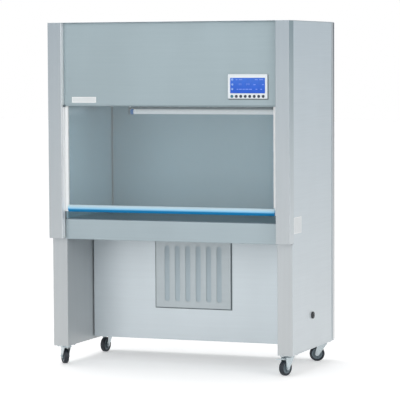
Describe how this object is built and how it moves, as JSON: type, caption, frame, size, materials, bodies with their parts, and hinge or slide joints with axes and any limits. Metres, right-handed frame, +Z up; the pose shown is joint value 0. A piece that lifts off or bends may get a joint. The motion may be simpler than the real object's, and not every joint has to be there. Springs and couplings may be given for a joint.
{
  "type": "laminar flow hood",
  "caption": "Stainless vertical-flow clean bench on castors: filtered work area behind a counterbalanced glass sash, intake grille and blower below.",
  "frame": {"origin": "on the floor, under the middle of the cabinet", "axes": "+X to the user's right, +Y to the back, +Z up; the sash and controls face -Y"},
  "size_m": [1.2729, 0.69, 1.68],
  "materials": {
    "brushed_stainless": "brushed stainless sheet, fine horizontal grain",
    "satin_stainless": "satin stainless sheet",
    "galvanised_sheet": "galvanised sheet",
    "filter_media": "pleated filter medium",
    "anodised_aluminium": "clear anodised extrusion",
    "motor_enamel": "dark enamel",
    "white_moulding": "white moulding",
    "lamp_glass": "opal tube with metal caps",
    "sash_glass": "clear toughened glass",
    "white_profile": "white enamelled profile",
    "blue_profile": "blue enamelled grip profile",
    "weight_steel": "bar steel, grey primer",
    "pulley_moulding": "turned nylon",
    "steel_cable": "stranded steel",
    "lcd": "backlit blue display",
    "dark_moulding": "black nylon",
    "button_navy": "navy moulding",
    "zinc_steel": "bright zinc plated pressing",
    "wheel_rubber": "black tread on a grey hub"
  },
  "bodies": {
    "root": {"side_panel_left": "brushed_stainless", "side_panel_right": "brushed_stainless", "front_column_left": "brushed_stainless", "front_column_right": "brushed_stainless", "front_panel": "brushed_stainless", "top_cover": "brushed_stainless", "rear_cover_upper": "brushed_stainless", "rear_cover_lower": "brushed_stainless", "leg_box_left": "brushed_stainless", "leg_box_right": "brushed_stainless", "knee_panel": "brushed_stainless", "intake_grille": "brushed_stainless", "worktop": "satin_stainless", "work_wall_left": "satin_stainless", "work_wall_right": "satin_stainless", "work_wall_back": "satin_stainless", "base_tray": "galvanised_sheet", "blower_housing": "galvanised_sheet", "plenum_box": "galvanised_sheet", "pulley_brackets": "galvanised_sheet", "diffuser_plate": "galvanised_sheet", "prefilter": "filter_media", "filter_paper": "filter_media", "filter_frame": "anodised_aluminium", "blower_motor": "motor_enamel", "lamp_holders": "white_moulding", "lamp_tube": "lamp_glass", "guide_rails": "anodised_aluminium", "cable_left": "steel_cable", "cable_right": "steel_cable", "panel_bezel": "white_moulding", "lcd_screen": "lcd", "cable_gland": "dark_moulding", "caster_plates": "zinc_steel"},
    "sash": {"sash_glass": "sash_glass", "sash_stiles": "white_profile", "sash_handle": "blue_profile"},
    "counterweight_left": {"counterweight_left": "weight_steel"},
    "counterweight_right": {"counterweight_right": "weight_steel"},
    "pulley_left": {"pulley_left": "pulley_moulding"},
    "pulley_right": {"pulley_right": "pulley_moulding"},
    "impeller": {"blower_impeller": "galvanised_sheet"},
    "button_1": {"button_1": "button_navy"},
    "button_2": {"button_2": "button_navy"},
    "button_3": {"button_3": "button_navy"},
    "button_4": {"button_4": "button_navy"},
    "button_5": {"button_5": "button_navy"},
    "button_6": {"button_6": "button_navy"},
    "button_7": {"button_7": "button_navy"},
    "button_8": {"button_8": "button_navy"},
    "fork_fl": {"caster_fork_fl": "zinc_steel"},
    "wheel_fl": {"caster_wheel_fl": "wheel_rubber"},
    "fork_fr": {"caster_fork_fr": "zinc_steel"},
    "wheel_fr": {"caster_wheel_fr": "wheel_rubber"},
    "fork_rl": {"caster_fork_rl": "zinc_steel"},
    "wheel_rl": {"caster_wheel_rl": "wheel_rubber"},
    "fork_rr": {"caster_fork_rr": "zinc_steel"},
    "wheel_rr": {"caster_wheel_rr": "wheel_rubber"},
    "pedal_fl": {"brake_pedal_fl": "zinc_steel"},
    "pedal_fr": {"brake_pedal_fr": "zinc_steel"}
  },
  "joints": [
    {"name": "sash_slide", "type": "slide", "parent": "root", "child": "sash", "axis": [0, 0, 1], "range_m": [0, 0.3], "deforming": ["cable_left", "cable_right"]},
    {"name": "counterweight_left_slide", "type": "slide", "parent": "root", "child": "counterweight_left", "axis": [0, 0, 1], "range_m": [-0.3, 0]},
    {"name": "pulley_left_turn", "type": "hinge", "parent": "root", "child": "pulley_left", "pos_m": [-0.576, -0.299, 1.645], "axis": [0, 1, 0], "range_deg": [-955, 0]},
    {"name": "counterweight_right_slide", "type": "slide", "parent": "root", "child": "counterweight_right", "axis": [0, 0, 1], "range_m": [-0.3, 0]},
    {"name": "pulley_right_turn", "type": "hinge", "parent": "root", "child": "pulley_right", "pos_m": [0.576, -0.299, 1.645], "axis": [0, 1, 0], "range_deg": [0, 955]},
    {"name": "impeller_spin", "type": "hinge", "parent": "root", "child": "impeller", "pos_m": [0, 0.175, 0.31], "axis": [1, 0, 0], "continuous": true},
    {"name": "button_1_press", "type": "slide", "parent": "root", "child": "button_1", "axis": [0, 1, 0], "range_m": [0, 0.0008], "stiffness_N_per_m": 400, "springref_m": -0.0005},
    {"name": "button_2_press", "type": "slide", "parent": "root", "child": "button_2", "axis": [0, 1, 0], "range_m": [0, 0.0008], "stiffness_N_per_m": 400, "springref_m": -0.0005},
    {"name": "button_3_press", "type": "slide", "parent": "root", "child": "button_3", "axis": [0, 1, 0], "range_m": [0, 0.0008], "stiffness_N_per_m": 400, "springref_m": -0.0005},
    {"name": "button_4_press", "type": "slide", "parent": "root", "child": "button_4", "axis": [0, 1, 0], "range_m": [0, 0.0008], "stiffness_N_per_m": 400, "springref_m": -0.0005},
    {"name": "button_5_press", "type": "slide", "parent": "root", "child": "button_5", "axis": [0, 1, 0], "range_m": [0, 0.0008], "stiffness_N_per_m": 400, "springref_m": -0.0005},
    {"name": "button_6_press", "type": "slide", "parent": "root", "child": "button_6", "axis": [0, 1, 0], "range_m": [0, 0.0008], "stiffness_N_per_m": 400, "springref_m": -0.0005},
    {"name": "button_7_press", "type": "slide", "parent": "root", "child": "button_7", "axis": [0, 1, 0], "range_m": [0, 0.0008], "stiffness_N_per_m": 400, "springref_m": -0.0005},
    {"name": "button_8_press", "type": "slide", "parent": "root", "child": "button_8", "axis": [0, 1, 0], "range_m": [0, 0.0008], "stiffness_N_per_m": 400, "springref_m": -0.0005},
    {"name": "castor_fl_swivel", "type": "hinge", "parent": "root", "child": "fork_fl", "pos_m": [-0.58, -0.243, 0.09], "axis": [0, 0, 1], "continuous": true},
    {"name": "castor_fl_roll", "type": "hinge", "parent": "fork_fl", "child": "wheel_fl", "pos_m": [-0.59735, -0.22232, 0.0375], "axis": [-0.766, -0.6428, 0], "continuous": true},
    {"name": "brake_fl_press", "type": "hinge", "parent": "fork_fl", "child": "pedal_fl", "pos_m": [-0.6025, -0.21619, 0.0805], "axis": [-0.766, -0.6428, 0], "range_deg": [0, 12]},
    {"name": "castor_fr_swivel", "type": "hinge", "parent": "root", "child": "fork_fr", "pos_m": [0.58, -0.243, 0.09], "axis": [0, 0, 1], "continuous": true},
    {"name": "castor_fr_roll", "type": "hinge", "parent": "fork_fr", "child": "wheel_fr", "pos_m": [0.57076, -0.26837, 0.0375], "axis": [0.9397, -0.342, 0], "continuous": true},
    {"name": "brake_fr_press", "type": "hinge", "parent": "fork_fr", "child": "pedal_fr", "pos_m": [0.56803, -0.27589, 0.0805], "axis": [0.9397, -0.342, 0], "range_deg": [0, 12]},
    {"name": "castor_rl_swivel", "type": "hinge", "parent": "root", "child": "fork_rl", "pos_m": [-0.58, 0.275, 0.09], "axis": [0, 0, 1], "continuous": true},
    {"name": "castor_rl_roll", "type": "hinge", "parent": "fork_rl", "child": "wheel_rl", "pos_m": [-0.58282, 0.24815, 0.0375], "axis": [0.9945, -0.1045, 0], "continuous": true},
    {"name": "castor_rr_swivel", "type": "hinge", "parent": "root", "child": "fork_rr", "pos_m": [0.58, 0.275, 0.09], "axis": [0, 0, 1], "continuous": true},
    {"name": "castor_rr_roll", "type": "hinge", "parent": "fork_rr", "child": "wheel_rr", "pos_m": [0.55463, 0.26576, 0.0375], "axis": [0.342, -0.9397, 0], "continuous": true}
  ],
  "couplings": [
    {"joint": "counterweight_left_slide", "follows": "sash_slide", "ratio": -1},
    {"joint": "counterweight_right_slide", "follows": "sash_slide", "ratio": -1},
    {"joint": "pulley_right_turn", "follows": "sash_slide", "rad_per_m": 55.556},
    {"joint": "pulley_left_turn", "follows": "sash_slide", "rad_per_m": -55.556}
  ]
}
